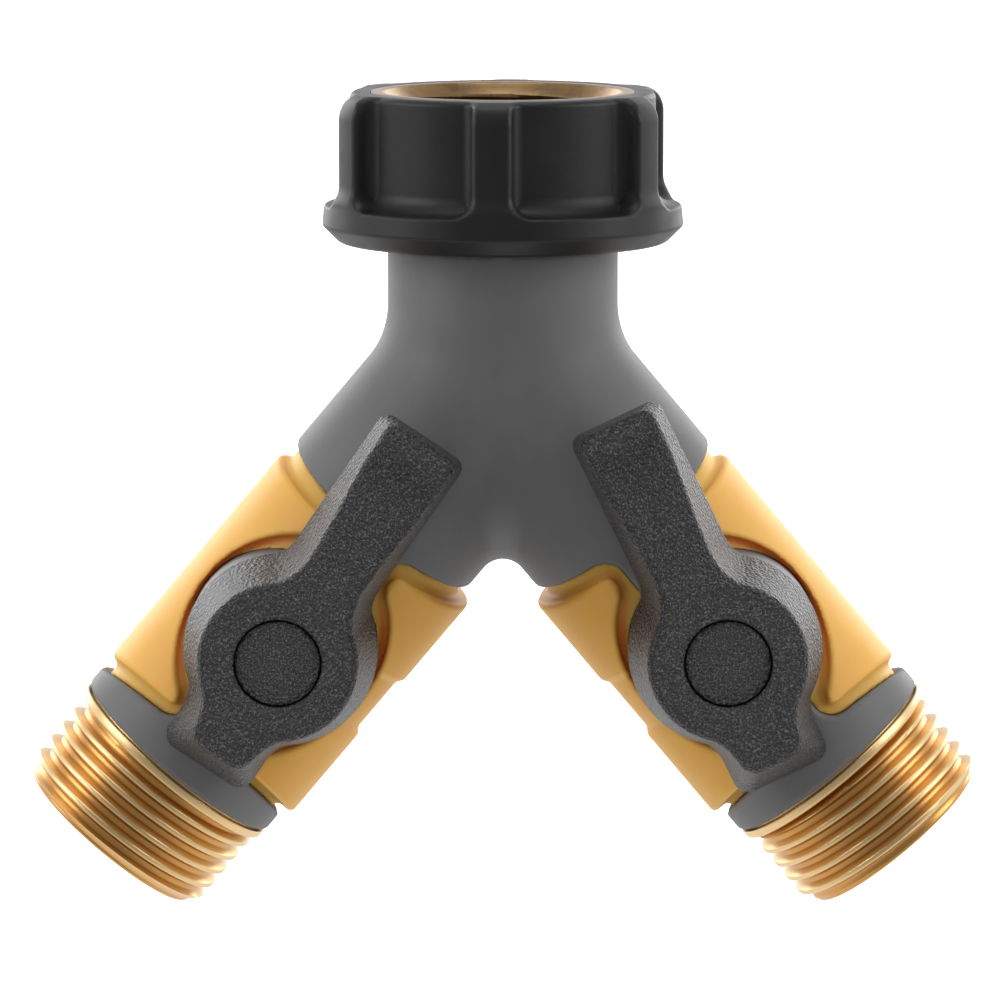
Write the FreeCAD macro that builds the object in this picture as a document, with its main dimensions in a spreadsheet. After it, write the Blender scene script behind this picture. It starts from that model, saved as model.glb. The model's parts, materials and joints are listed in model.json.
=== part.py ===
import FreeCAD, Part
import math
import os

import Sketcher
from FreeCAD import Placement, Rotation, Vector

# A garden hose splitter: one swivelling female inlet above, two male outlets below, and a quarter-turn
# ball valve with its own lever in each arm. Millimetres. +Z points up towards the tap, the levers face
# -Y, and the origin is the centre of the inlet washer's upper face, where the tap's end seals.

# ---------------------------------------------------------------- driving dimensions

DRIVING = [
    # layout
    ("mouth_height", 9.7, "swivel nut's mouth above the origin"),
    ("nut_height", 18.2, "swivel nut, mouth to bottom face"),
    ("junction_drop", 24.3, "point where the three waterways meet, below the origin"),
    ("arm_angle", 40.0, "each arm, degrees from straight down"),
    ("valve_at", 41.3, "stem axis, along the arm from the junction"),
    ("left_lever_angle", 33.9, "left lever's long end, degrees from straight up"),
    ("right_lever_angle", 25.7, "right lever's long end, degrees from straight up"),
    ("nut_turn", -3.7, "swivel nut's front rib, degrees from straight ahead"),
    # garden hose thread, 3/4-11.5
    ("pitch", 2.209, "thread pitch"),
    ("thread_flat", 0.276, "crest flat"),
    ("male_major_radius", 13.4, "outlet thread crest"),
    ("thread_depth", 1.40, "crest to root"),
    ("female_minor_radius", 12.3, "inlet thread crest"),
    ("ridge_half_base", 0.94, "half the width of a thread ridge at its root"),
    # grey cover
    ("neck_radius", 13.9, "cover round the inlet neck"),
    ("neck_top_drop", 8.75, "top of the cover's neck, below the origin"),
    ("collar_radius", 13.65, "cover round the top of each arm"),
    ("collar_end", 22.85, "lower end of the collar, along the arm"),
    ("sleeve_radius", 12.1, "cover under the grips"),
    ("ring_radius", 14.0, "end ring"),
    ("ring_start", 59.2, "end ring, along the arm"),
    ("ring_end", 61.7, "end ring's outer face, along the arm"),
    ("boss_radius", 11.4, "valve boss"),
    ("boss_height", 14.6, "valve boss above the arm's axis"),
    ("neck_blend", 11.0, "blend from the neck to the arms"),
    ("collar_strip_half", 3.1, "half the width of the cover's strip from a collar to its boss"),
    ("ring_strip_half", 4.7, "half the width of the cover's strip from a boss to the end ring"),
    # brass core
    ("core_neck_radius", 11.9, "core round the inlet"),
    ("core_arm_radius", 11.0, "core round each arm"),
    ("tail_bore_radius", 10.0, "bore that holds the tailpiece"),
    ("waterway_radius", 6.5, "passages in the core"),
    ("chamber_radius", 9.6, "valve chamber"),
    ("bonnet_radius", 7.2, "core round the stem"),
    # valve
    ("ball_radius", 9.0, "ball"),
    ("port_radius", 6.0, "hole through the ball"),
    ("ball_gap", 0.05, "ball to seat"),
    ("seat_back", 7.8, "back of a seat, from the stem axis"),
    ("seat_face", 5.1, "rim of a seat, from the stem axis"),
    ("slot_half_width", 1.3, "slot in the ball's top"),
    ("slot_floor", 6.6, "slot's floor above the arm's axis"),
    ("tang_half_width", 1.2, "stem's tang across the slot"),
    ("stem_radius", 3.9, "stem"),
    ("stem_bore_radius", 3.98, "bore for the stem"),
    ("stem_flange_radius", 4.9, "stem's inner shoulder"),
    ("stem_recess_radius", 5.0, "recess for that shoulder"),
    ("stem_flange_low", 9.3, "shoulder's underside above the arm's axis"),
    ("stem_flange_high", 10.5, "shoulder's upper side"),
    ("washer_gap", 0.5, "thrust washer's thickness"),
    ("drive_half", 2.8, "half of the stem's square"),
    ("stem_top", 21.2, "end of the stem's square"),
    ("tapped_radius", 1.55, "tapped hole in the stem"),
    ("screw_radius", 1.5, "lever screw's shank"),
    ("screw_head_radius", 3.6, "lever screw's head"),
    # lever
    ("lever_base", 14.9, "lever's underside above the arm's axis"),
    ("lever_top", 25.4, "lever's top above the arm's axis"),
    ("lever_hub_radius", 11.7, "hub at the underside"),
    ("lever_draft", 12.5, "lever's side walls, degrees"),
    ("stub_draft", 20.0, "short end's end wall, degrees"),
    ("tip_draft", 1.0, "long end's end wall, degrees"),
    ("lever_half_width", 5.9, "half of the long end's width"),
    ("lever_reach", 31.3, "long end, from the stem axis"),
    ("stub_half_width", 6.1, "half of the short end's width"),
    ("stub_reach", 17.1, "short end, from the stem axis"),
    ("lever_blend", 3.4, "hub to arm fillet, seen from the front"),
    ("lever_corner", 1.0, "corners at both ends"),
    ("lever_wall", 2.2, "moulded wall"),
    ("lever_roof", 5.4, "solid top of the lever over its hollow"),
    ("lever_dip", 2.2, "fall of the top face towards the tip"),
    ("lever_dip_start", 9.0, "start of that fall, from the stem axis"),
    ("lever_dip_end", 24.0, "end of that fall"),
    ("lever_rise", 3.0, "rise of the underside towards the tip"),
    ("lever_rise_start", 16.0, "start of that rise, from the stem axis"),
    ("lever_post_radius", 6.6, "post in the lever's hollow that the stem drives"),
    ("screw_well_radius", 4.6, "well for the screw's head"),
    ("cap_radius", 5.05, "press-in cap"),
    ("cap_thickness", 1.3, "press-in cap's disc"),
    ("cap_skirt_radius", 4.5, "press-in cap's skirt"),
    # grips
    ("grip_radius", 12.75, "grip between its raised pads"),
    ("pad_radius", 14.6, "grip's raised pads"),
    ("pad_shift", 0.45, "pads' cylinder, towards the other arm"),
    ("pad_start", 24.8, "pads' upper end, along the arm"),
    ("pad_end", 57.5, "pads' lower end, along the arm"),
    ("pad_clear_radius", 12.9, "round clearing in the pads, about the stem axis"),
    # outlet nipple
    ("outlet_end", 74.7, "outlet's sealing face, along the arm"),
    ("outlet_bore_radius", 9.0, "outlet's bore"),
    ("land_radius", 13.9, "plain land beside the ring"),
    ("outlet_land", 63.6, "end of the plain land beside the ring"),
    ("outlet_thread_gap", 0.5, "land's end to the first ridge's foot"),
    ("outlet_groove", 53.6, "outlet's ring groove, along the arm"),
    ("outlet_groove_width", 2.2, "outlet's ring groove"),
    ("groove_depth", 1.3, "outlet's ring groove"),
    # swivel nut and tailpiece
    ("insert_radius", 16.0, "nut's brass insert"),
    ("insert_low", 0.5, "insert's underside above the nut's bottom"),
    ("mouth_radius", 14.4, "wide end of the bevel in the insert's mouth"),
    ("cover_hole_radius", 15.0, "hole in the nut cover's underside"),
    ("cover_flange_radius", 21.8, "nut cover's flange"),
    ("cover_rib_radius", 21.0, "nut cover's ribs"),
    ("cover_floor_radius", 18.4, "floor of the finger pockets"),
    ("pocket_low", 4.6, "pockets' lower end above the nut's bottom"),
    ("tail_radius", 9.96, "tailpiece's spigot"),
    ("tail_neck_radius", 10.3, "tailpiece where the nut turns"),
    ("tail_flange_radius", 11.9, "tailpiece's flange"),
    ("tail_flange_thickness", 2.0, "tailpiece's flange"),
    ("tail_bore", 8.0, "tailpiece's bore"),
    ("tail_drop", 19.6, "tailpiece's lower end, below the origin"),
    ("washer_thickness", 3.0, "inlet washer"),
    ("washer_radius", 12.7, "inlet washer"),
]

RIBS = 6
RIB_HALF = 6.4  # degrees
OUTLET_RIDGES = 4
NODES = []


class Size:
    """A length that knows its value and the spreadsheet expression it comes from."""

    def __init__(self, value, text=None):
        self.value = float(value)
        self.text = text or repr(float(value))

    def _join(self, other, sign, value, swap=False):
        other = other if isinstance(other, Size) else Size(other)
        first, second = (other, self) if swap else (self, other)
        return Size(value(first.value, second.value), f"({first.text} {sign} {second.text})")

    def __add__(self, other):
        return self._join(other, "+", lambda a, b: a + b)

    def __sub__(self, other):
        return self._join(other, "-", lambda a, b: a - b)

    def __rsub__(self, other):
        return self._join(other, "-", lambda a, b: a - b, swap=True)

    def __mul__(self, other):
        return self._join(other, "*", lambda a, b: a * b)

    __radd__ = __add__
    __rmul__ = __mul__


doc = FreeCAD.newDocument("hose_splitter")


def make_sheet():
    """Writes the driving dimensions to a sheet and returns them as attributes."""
    sheet = doc.addObject("Spreadsheet::Sheet", "Sizes")
    named = type("Named", (), {})()
    for row, (alias, value, note) in enumerate(DRIVING, start=1):
        sheet.set(f"A{row}", note)
        sheet.set(f"B{row}", str(value))
        sheet.setAlias(f"B{row}", alias)
        setattr(named, alias, Size(value, f"Sizes.{alias}"))
    doc.recompute()
    return named


s = make_sheet()


# ---------------------------------------------------------------- places


def along(direction, x_axis):
    """Rotation that turns local +Z to direction and local +X to x_axis."""
    return Rotation(x_axis, Vector(), direction, "ZXY")


JUNCTION = Vector(0, 0, -s.junction_drop.value)
ARM = math.radians(s.arm_angle.value)
ARM_WAY = {
    "left": Vector(-math.sin(ARM), 0, -math.cos(ARM)),
    "right": Vector(math.sin(ARM), 0, -math.cos(ARM)),
}
FRONT = Vector(0, -1, 0)


def arm_frame(side):
    """Origin at the junction, +Z down the arm, -Y still to the front."""
    turn = 180 - s.arm_angle.value
    return Placement(JUNCTION, Rotation(Vector(0, 1, 0), turn if side == "right" else -turn))


def lever_way(side):
    """The way the lever's long end, and so the ball's port, points."""
    angle = s.left_lever_angle if side == "left" else s.right_lever_angle
    tilt = math.radians(angle.value)
    sign = 1 if side == "left" else -1
    return Vector(sign * math.sin(tilt), 0, math.cos(tilt))


def valve_frame(side):
    """Origin where the stem axis meets the arm's axis, +Z to the front, +X along the lever."""
    centre = JUNCTION + ARM_WAY[side] * s.valve_at.value
    return Placement(centre, along(FRONT, lever_way(side)))


def boss_frame(side):
    """As valve_frame, but with +X up the arm, for what doesn't turn with the lever."""
    centre = JUNCTION + ARM_WAY[side] * s.valve_at.value
    return Placement(centre, along(FRONT, ARM_WAY[side] * -1))


def raised(height, turn=0.0):
    """Origin on the inlet axis at that height, turned about it."""
    return Placement(Vector(0, 0, height), Rotation(Vector(0, 0, 1), turn))


def offset(frame, x=0.0, y=0.0, z=0.0, turn=None):
    return frame.multiply(Placement(Vector(x, y, z), turn or Rotation()))


# ---------------------------------------------------------------- ways of making a piece


def keep(feature, node):
    """Marks a feature as a finished piece, under its node's name."""
    feature.Label = node
    NODES.append(feature)
    return feature


def primitive(kind, sizes, frame):
    """A Part primitive whose sizes follow the sheet."""
    made = doc.addObject(f"Part::{kind}", kind)
    for name, size in sizes.items():
        made.setExpression(name, size.text if isinstance(size, Size) else repr(float(size)))
    made.Placement = frame
    return made


def rod(radius, low, high, frame):
    """A cylinder between two heights on the frame's Z axis."""
    height = (high if isinstance(high, Size) else Size(high)) - low
    start = low.value if isinstance(low, Size) else low
    return primitive("Cylinder", {"Radius": radius, "Height": height}, offset(frame, z=start))


def block(length, width, height, frame):
    """A box centred on the frame's X and Y, standing on its origin."""
    place = offset(frame, x=-length.value / 2, y=-width.value / 2)
    return primitive("Box", {"Length": length, "Width": width, "Height": height}, place)


def ball(radius, frame):
    return primitive("Sphere", {"Radius": radius}, frame)


def fuse(*shapes):
    made = doc.addObject("Part::MultiFuse", "Fuse")
    made.Shapes = list(shapes)
    made.Refine = True
    return made


def cut(base, *tools):
    """Base less every tool."""
    for tool in tools:
        made = doc.addObject("Part::Cut", "Cut")
        made.Base, made.Tool = base, tool
        base = made
    return base


def closed_sketch(body, plane, points):
    """A closed outline of straight lines, each corner tied to the sheet."""
    sketch = body.newObject("Sketcher::SketchObject", "Outline")
    origin_plane = next(f for f in body.Origin.OriginFeatures if f.Role == plane)
    sketch.AttachmentSupport = (origin_plane, "")
    sketch.MapMode = "FlatFace"
    corners = [Vector(x.value, y.value, 0) for x, y in points]
    for i, corner in enumerate(corners):
        sketch.addGeometry(Part.LineSegment(corner, corners[(i + 1) % len(corners)]))
    for i in range(len(corners)):
        sketch.addConstraint(Sketcher.Constraint("Coincident", i, 2, (i + 1) % len(corners), 1))
    for i, (x, y) in enumerate(points):
        for kind, size in (("DistanceX", x), ("DistanceY", y)):
            if size.value == 0:
                axis = -2 if kind == "DistanceX" else -1
                sketch.addConstraint(Sketcher.Constraint("PointOnObject", i, 1, axis))
                continue
            at = sketch.addConstraint(Sketcher.Constraint(kind, -1, 1, i, 1, size.value))
            name = f"{kind[-1].lower()}{i}"
            sketch.renameConstraint(at, name)
            sketch.setExpression(f"Constraints.{name}", size.text)
    return sketch


def turned(points, frame):
    """A piece turned about its own Z axis from an outline of (radius, height) corners."""
    body = doc.addObject("PartDesign::Body", "Turned")
    points = [tuple(c if isinstance(c, Size) else Size(c) for c in p) for p in points]
    sketch = closed_sketch(body, "XZ_Plane", points)
    doc.recompute()
    spin = body.newObject("PartDesign::Revolution", "Revolution")
    spin.Profile = sketch
    spin.ReferenceAxis = (sketch, ["V_Axis"])
    spin.Angle = 360
    body.Tip = spin
    body.Placement = frame
    return body


def rounded(base, radius, picks):
    """Fillets those edges of base that picks(edge) accepts."""
    doc.recompute()
    made = doc.addObject("Part::Fillet", "Fillet")
    made.Base = base
    chosen = [i for i, edge in enumerate(base.Shape.Edges, start=1) if picks(edge)]
    made.Edges = [(i, radius.value, radius.value) for i in chosen]
    return made


# ---------------------------------------------------------------- swivel nut and inlet


def ridge(crest, root, middle):
    """Corners of one thread ridge, from low to high."""
    return [
        (root, middle - s.ridge_half_base),
        (crest, middle - s.thread_flat * 0.5),
        (crest, middle + s.thread_flat * 0.5),
        (root, middle + s.ridge_half_base),
    ]


def nut_insert(frame):
    """Brass insert: female thread, washer seat and the shoulder that the tailpiece pulls on.
    The thread is a stack of rings at the true pitch."""
    seat = s.nut_height - s.mouth_height
    root = s.female_minor_radius + s.thread_depth - 0.05
    shoulder = seat - s.washer_thickness - s.tail_flange_thickness - 0.2
    first = seat + 0.4
    points = [
        (s.tail_neck_radius + 0.2, s.insert_low),
        (s.insert_radius, s.insert_low),
        (s.insert_radius, s.nut_height),
        (s.mouth_radius, s.nut_height),
        (root, s.nut_height - 0.75),
    ]
    for turn in (3, 2, 1):
        points += reversed(ridge(s.female_minor_radius, root, first + s.pitch * turn))
    points += [
        (root, first + s.ridge_half_base),
        (s.female_minor_radius, first + s.thread_flat * 0.5),
        (s.female_minor_radius, seat + 0.1),
        (s.washer_radius + 0.15, seat),
        (s.washer_radius + 0.15, shoulder),
        (s.tail_neck_radius + 0.2, shoulder),
    ]
    return turned(points, frame)


def nut_cover(frame):
    """Moulded grip over the insert: a flange, a ribbed skirt and six finger pockets."""
    top = s.nut_height
    skirt = s.cover_rib_radius
    blank = turned(
        [
            (s.cover_hole_radius, Size(0)),
            (s.cover_flange_radius - 1.9, Size(0)),
            (s.cover_flange_radius, Size(1.9)),
            (s.cover_flange_radius, s.pocket_low - 0.6),
            (s.cover_flange_radius - 0.5, s.pocket_low),
            (skirt + 0.5, s.pocket_low + 0.9),
            (skirt + 0.1, s.pocket_low + 2.4),
            (skirt, top - 1.5),
            (skirt - 0.4, top - 0.5),
            (skirt - 1.3, top),
            (s.insert_radius, top),
            (s.insert_radius, s.insert_low),
            (s.cover_hole_radius, s.insert_low),
        ],
        raised(0),
    )
    doc.recompute()
    made = blank.Shape
    for i in range(RIBS):
        start = 360 / RIBS * i + RIB_HALF
        made = made.cut(finger_pocket(start, start + 360 / RIBS - 2 * RIB_HALF))
    cover = doc.addObject("Part::Feature", "NutCover")
    cover.Shape = made
    cover.Placement = frame
    return cover


def finger_pocket(start, end):
    """The space that one finger pocket takes, between two angles measured from straight ahead."""
    floor, outer = s.cover_floor_radius.value, s.cover_flange_radius.value + 2
    corner = 1.4

    def at(radius, degrees):
        turn = math.radians(degrees - 90)
        return Vector(radius * math.cos(turn), radius * math.sin(turn), s.pocket_low.value)

    ends = [at(floor, start), at(outer, start), at(outer, end), at(floor, end)]
    edges = [
        Part.LineSegment(ends[0], ends[1]).toShape(),
        Part.LineSegment(ends[1], ends[2]).toShape(),
        Part.LineSegment(ends[2], ends[3]).toShape(),
        Part.Arc(ends[3], at(floor, (start + end) / 2), ends[0]).toShape(),
    ]
    tool = Part.Face(Part.Wire(edges)).extrude(Vector(0, 0, s.nut_height.value))
    inner = [
        e
        for e in tool.Edges
        if abs(e.BoundBox.ZLength - s.nut_height.value) < 1e-6
        and math.hypot(e.CenterOfMass.x, e.CenterOfMass.y) < floor + 0.1
    ]
    foot = [
        e
        for e in tool.Edges
        if e.BoundBox.ZLength < 1e-6
        and abs(e.CenterOfMass.z - s.pocket_low.value) < 1e-6
        and isinstance(e.Curve, Part.Circle)
    ]
    return tool.makeFillet(corner, inner + foot)


def tailpiece(frame):
    """Flanged brass tube: the nut turns on it, and its spigot is pressed into the core."""
    flange = s.tail_drop - s.washer_thickness
    neck = s.tail_drop - s.neck_top_drop
    return turned(
        [
            (s.tail_bore - 0.5, Size(0)),
            (s.tail_radius - 0.4, Size(0)),
            (s.tail_radius, Size(0.8)),
            (s.tail_radius, Size(4.0)),
            (s.tail_radius - 1.1, Size(4.0)),
            (s.tail_radius - 1.1, Size(6.0)),
            (s.tail_radius, Size(6.0)),
            (s.tail_radius, neck),
            (s.tail_neck_radius, neck),
            (s.tail_neck_radius, flange - s.tail_flange_thickness),
            (s.tail_flange_radius, flange - s.tail_flange_thickness),
            (s.tail_flange_radius, flange),
            (s.tail_bore, flange),
            (s.tail_bore, neck + 0.2),
            (s.tail_bore - 0.5, neck - 0.6),
        ],
        frame,
    )


def inlet_washer(frame):
    """Flat rubber hose washer."""
    hole = s.tail_bore + 0.3
    return turned(
        [
            (hole, Size(0)),
            (s.washer_radius - 0.4, Size(0)),
            (s.washer_radius, Size(0.4)),
            (s.washer_radius, s.washer_thickness - 0.4),
            (s.washer_radius - 0.4, s.washer_thickness),
            (hole, s.washer_thickness),
        ],
        frame,
    )


def o_ring(middle_radius, section_radius, frame):
    return primitive("Torus", {"Radius1": middle_radius, "Radius2": section_radius}, frame)


# ---------------------------------------------------------------- core and cover


def core_body():
    """Brass casting: inlet socket, junction, and two valve chambers with their bonnets."""
    top = raised(0)
    outer = [
        rod(s.core_neck_radius, s.junction_drop * -1, s.neck_top_drop * -1, top),
        ball(s.core_neck_radius, Placement(JUNCTION, Rotation())),
    ]
    inner = [
        rod(s.tail_bore_radius, s.tail_drop * -1 - 0.3, Size(0), top),
        rod(s.waterway_radius + 1, s.junction_drop * -1, s.tail_drop * -1, top),
        ball(s.waterway_radius + 1, Placement(JUNCTION, Rotation())),
    ]
    for side in ARM_WAY:
        arm, boss = arm_frame(side), boss_frame(side)
        outer.append(rod(s.core_arm_radius, Size(0), s.ring_end, arm))
        outer.append(rod(s.bonnet_radius, Size(0), s.boss_height - 0.1, boss))
        inner.append(rod(s.waterway_radius, Size(0), s.valve_at, arm))
        inner.append(rod(s.chamber_radius, s.valve_at - s.seat_back, s.ring_end + 1, arm))
        inner.append(rod(s.stem_recess_radius, Size(0), s.stem_flange_high + s.washer_gap, boss))
        inner.append(rod(s.stem_bore_radius, Size(0), s.boss_height + 1, boss))
    return cut(fuse(*outer), *inner)


def core_envelope():
    """The space that the core and the stem take inside the cover."""
    top = raised(0)
    parts = [
        rod(s.core_neck_radius, s.junction_drop * -1, Size(0), top),
        ball(s.core_neck_radius, Placement(JUNCTION, Rotation())),
    ]
    for side in ARM_WAY:
        parts.append(rod(s.core_arm_radius, Size(0), s.ring_end + 1, arm_frame(side)))
        parts.append(rod(s.bonnet_radius, Size(0), s.boss_height + 1, boss_frame(side)))
    return fuse(*parts)


def bridge(frame, half_width, reach):
    """A strip of cover from the valve boss along the arm, under the lever."""
    length = Size(abs(reach))
    place = offset(frame, x=reach / 2)
    return block(length, half_width * 2, s.collar_radius + 0.2, place)


def under_neck(edge):
    """Is this a seam where the neck runs into a collar?"""
    curved = isinstance(edge.Curve, (Part.BSplineCurve, Part.Ellipse))
    return curved and edge.BoundBox.ZMin > JUNCTION.z - 0.5


def branch():
    """Neck and collars of the cover, with the blends under the neck."""
    collars = [rod(s.collar_radius, Size(0), s.collar_end, arm_frame(side)) for side in ARM_WAY]
    neck = rod(s.neck_radius, s.junction_drop * -1, s.neck_top_drop * -1, raised(0))
    knot = ball(s.neck_radius, Placement(JUNCTION, Rotation()))
    return rounded(fuse(neck, knot, *collars), s.neck_blend, under_neck)


def y_cover():
    """Grey moulding over the core: neck, collars, sleeves under the grips, end rings and bosses."""
    outer = [branch()]
    for side in ARM_WAY:
        arm, boss = arm_frame(side), boss_frame(side)
        outer.append(rod(s.sleeve_radius, Size(0), s.ring_end, arm))
        outer.append(rod(s.ring_radius, s.ring_start, s.ring_end, arm))
        outer.append(rod(s.boss_radius, Size(0), s.boss_height, boss))
        outer.append(bridge(boss, s.collar_strip_half, s.valve_at.value - s.collar_end.value + 0.5))
        outer.append(bridge(boss, s.ring_strip_half, s.valve_at.value - s.ring_start.value - 0.5))
    return cut(fuse(*outer), core_envelope())


# ---------------------------------------------------------------- grips


def grip(side):
    """Soft yellow sleeve with raised pads, open round the valve boss and over the bridges."""
    arm, boss = arm_frame(side), boss_frame(side)
    inward = s.pad_shift.value if side == "right" else -s.pad_shift.value
    pads = cut(
        rod(s.pad_radius, s.pad_start, s.pad_end, offset(arm, x=inward)),
        rod(s.pad_clear_radius, Size(0), s.lever_top, boss),
    )
    sleeve = fuse(rod(s.grip_radius, s.collar_end, s.ring_start, arm), pads)
    inside = rod(s.sleeve_radius, s.collar_end - 1, s.ring_start + 1, arm)
    windows = [
        rod(s.boss_radius, Size(0), s.lever_top, boss),
        bridge_window(boss, s.collar_strip_half, s.valve_at.value - s.collar_end.value + 2),
        bridge_window(boss, s.ring_strip_half, s.valve_at.value - s.ring_start.value - 2),
    ]
    return cut(sleeve, inside, *windows)


def bridge_window(frame, half_width, reach):
    """Room in the grip for a bridge of the cover."""
    place = offset(frame, x=reach / 2)
    return block(Size(abs(reach)), half_width * 2, s.lever_top, place)


# ---------------------------------------------------------------- outlet and seats


def outlet(frame):
    """Brass nipple: a spigot that shuts the valve chamber, and the male thread outside.
    The thread is a stack of rings at the true pitch."""
    crest = s.male_major_radius
    root = crest - s.thread_depth
    back = s.valve_at + s.seat_back
    spigot = s.chamber_radius - 0.02
    groove_end = s.outlet_groove + s.outlet_groove_width
    outline = [
        (s.waterway_radius, back),
        (spigot, back),
        (spigot, s.outlet_groove),
        (spigot - s.groove_depth, s.outlet_groove),
        (spigot - s.groove_depth, groove_end),
        (spigot, groove_end),
        (spigot, s.ring_end),
        (s.land_radius, s.ring_end),
        (s.land_radius, s.outlet_land - 0.6),
        (root, s.outlet_land),
    ]
    first = s.outlet_land + s.ridge_half_base + s.outlet_thread_gap
    for turn in range(OUTLET_RIDGES):
        outline += ridge(crest, root, first + s.pitch * turn)
    outline += [
        (root, s.outlet_end - 0.4),
        (root - 0.25, s.outlet_end),
        (s.outlet_bore_radius + 0.5, s.outlet_end),
        (s.outlet_bore_radius, s.outlet_end - 0.5),
        (s.outlet_bore_radius, s.ring_end + 0.7),
        (s.waterway_radius, s.ring_end - 1.8),
    ]
    return turned(outline, frame)


def seat(frame, outward):
    """PTFE ring whose face is a shallow cup that fits the ball."""
    size_low = s.valve_at + s.seat_face if outward else s.valve_at - s.seat_back
    size_high = s.valve_at + s.seat_back if outward else s.valve_at - s.seat_face
    ring = rod(s.chamber_radius, size_low, size_high, frame)
    hole = rod(s.port_radius + 0.2, size_low - 1, size_high + 1, frame)
    cup = ball(s.ball_radius + s.ball_gap, offset(frame, z=s.valve_at.value))
    return cut(ring, hole, cup)


# ---------------------------------------------------------------- valve and lever


def valve_ball(frame):
    """Ball with its port along the lever and the stem's slot across the top."""
    sideways = Rotation(Vector(0, 1, 0), 90)
    length = s.ball_radius * 2 + 2
    port = rod(s.port_radius, Size(0), length, offset(frame, x=-length.value / 2, turn=sideways))
    slot = block(
        s.slot_half_width * 2, length, s.ball_radius, offset(frame, z=s.slot_floor.value)
    )
    return cut(ball(s.ball_radius, frame), port, slot)


def stem(frame):
    """Stem: tang, shoulder, two ring grooves and the square that drives the lever."""
    groove = [s.stem_flange_high + s.washer_gap + 0.25, s.stem_flange_high + s.washer_gap + 2.15]
    inner = s.stem_radius - 0.95
    outline = [(Size(0), s.stem_flange_low), (s.stem_flange_radius, s.stem_flange_low)]
    outline += [(s.stem_flange_radius, s.stem_flange_high), (s.stem_radius, s.stem_flange_high)]
    for low in groove:
        outline += [(s.stem_radius, low), (inner, low), (inner, low + 1.4)]
        outline += [(s.stem_radius, low + 1.4)]
    outline += [(s.stem_radius, s.boss_height + 0.2), (Size(0), s.boss_height + 0.2)]
    shank = turned(outline, frame)
    tang = block(
        s.tang_half_width * 2,
        Size(7.0),
        s.stem_flange_low - s.slot_floor - 0.2,
        offset(frame, z=s.slot_floor.value + 0.2),
    )
    square = block(
        s.drive_half * 2,
        s.drive_half * 2,
        s.stem_top - s.boss_height - 0.2,
        offset(frame, z=s.boss_height.value + 0.2),
    )
    tapped = rod(s.tapped_radius, s.boss_height - 2, s.stem_top + 1, frame)
    return cut(fuse(shank, tang, square), tapped)


def stem_rings(frame):
    """The two O-rings in the stem's grooves."""
    first = s.stem_flange_high.value + s.washer_gap.value + 0.95
    middle = s.stem_radius - 0.45
    rings = [o_ring(middle, Size(0.5), offset(frame, z=first + rise)) for rise in (0.0, 1.9)]
    made = doc.addObject("Part::Compound", "Rings")
    made.Links = rings
    return made


def thrust_washer(frame):
    """Slippery washer between the stem's shoulder and the core."""
    ring = rod(
        s.stem_flange_radius, s.stem_flange_high, s.stem_flange_high + s.washer_gap - 0.04, frame
    )
    return cut(ring, rod(s.stem_radius + 0.05, s.stem_flange_high - 1, s.boss_height, frame))


def slope(draft):
    return math.tan(math.radians(draft.value))


def lever_side(hub, end, half, blend):
    """Corners of one side of one end of the lever: (along, across), from the hub out to its tip."""
    corner = s.lever_corner.value
    centre = Vector(math.sqrt((hub + blend) ** 2 - (half + blend) ** 2), half + blend, 0)
    inward = (centre * -1).normalize() + Vector(0, -1, 0)
    cut_off = corner * (1 - math.sqrt(0.5))
    return [
        centre * (hub / (hub + blend)),
        centre + inward.normalize() * blend,
        Vector(centre.x, half, 0),
        Vector(end - corner, half, 0),
        Vector(end - cut_off, half - cut_off, 0),
        Vector(end, half - corner, 0),
    ]


def lever_outline(inset, rise):
    """Wire of the lever seen from the front, at a rise above its underside and drawn in by inset: a
    round hub with a long and a short end, and concave blends between them."""
    lean = inset + rise * slope(s.lever_draft)
    hub = s.lever_hub_radius.value - lean
    height = s.lever_base.value + rise
    ends = [
        (1, s.lever_reach, s.lever_half_width, s.tip_draft),
        (-1, s.stub_reach, s.stub_half_width, s.stub_draft),
    ]
    edges, on_hub, on_tip = [], {}, {}
    for way, reach, half, draft in ends:
        end = reach.value - inset - rise * slope(draft)
        corners = lever_side(hub, end, half.value - lean, s.lever_blend.value + lean)
        for flip in (1, -1):
            p = [Vector(way * c.x, flip * c.y, height) for c in corners]
            edges.append(Part.Arc(p[0], p[1], p[2]).toShape())
            edges.append(Part.LineSegment(p[2], p[3]).toShape())
            edges.append(Part.Arc(p[3], p[4], p[5]).toShape())
            on_hub[way, flip], on_tip[way, flip] = p[0], p[5]
        edges.append(Part.LineSegment(on_tip[way, 1], on_tip[way, -1]).toShape())
    for flip in (1, -1):
        crest = Vector(0, flip * hub, height)
        edges.append(Part.Arc(on_hub[1, flip], crest, on_hub[-1, flip]).toShape())
    return Part.Wire(Part.__sortEdges__(edges))


def lever_solid(levels):
    """A solid through lever outlines, one for each (inset, rise)."""
    return Part.makeLoft([lever_outline(inset, rise) for inset, rise in levels], True, True)


def lever_slab(points):
    """A slab right across the lever, whose outline seen from the side is (along, height) points."""
    width = s.lever_hub_radius.value * 2 + 2
    corners = [Vector(x, -width / 2, z) for x, z in points]
    return Part.Face(Part.makePolygon(corners + corners[:1])).extrude(Vector(0, width, 0))


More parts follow.
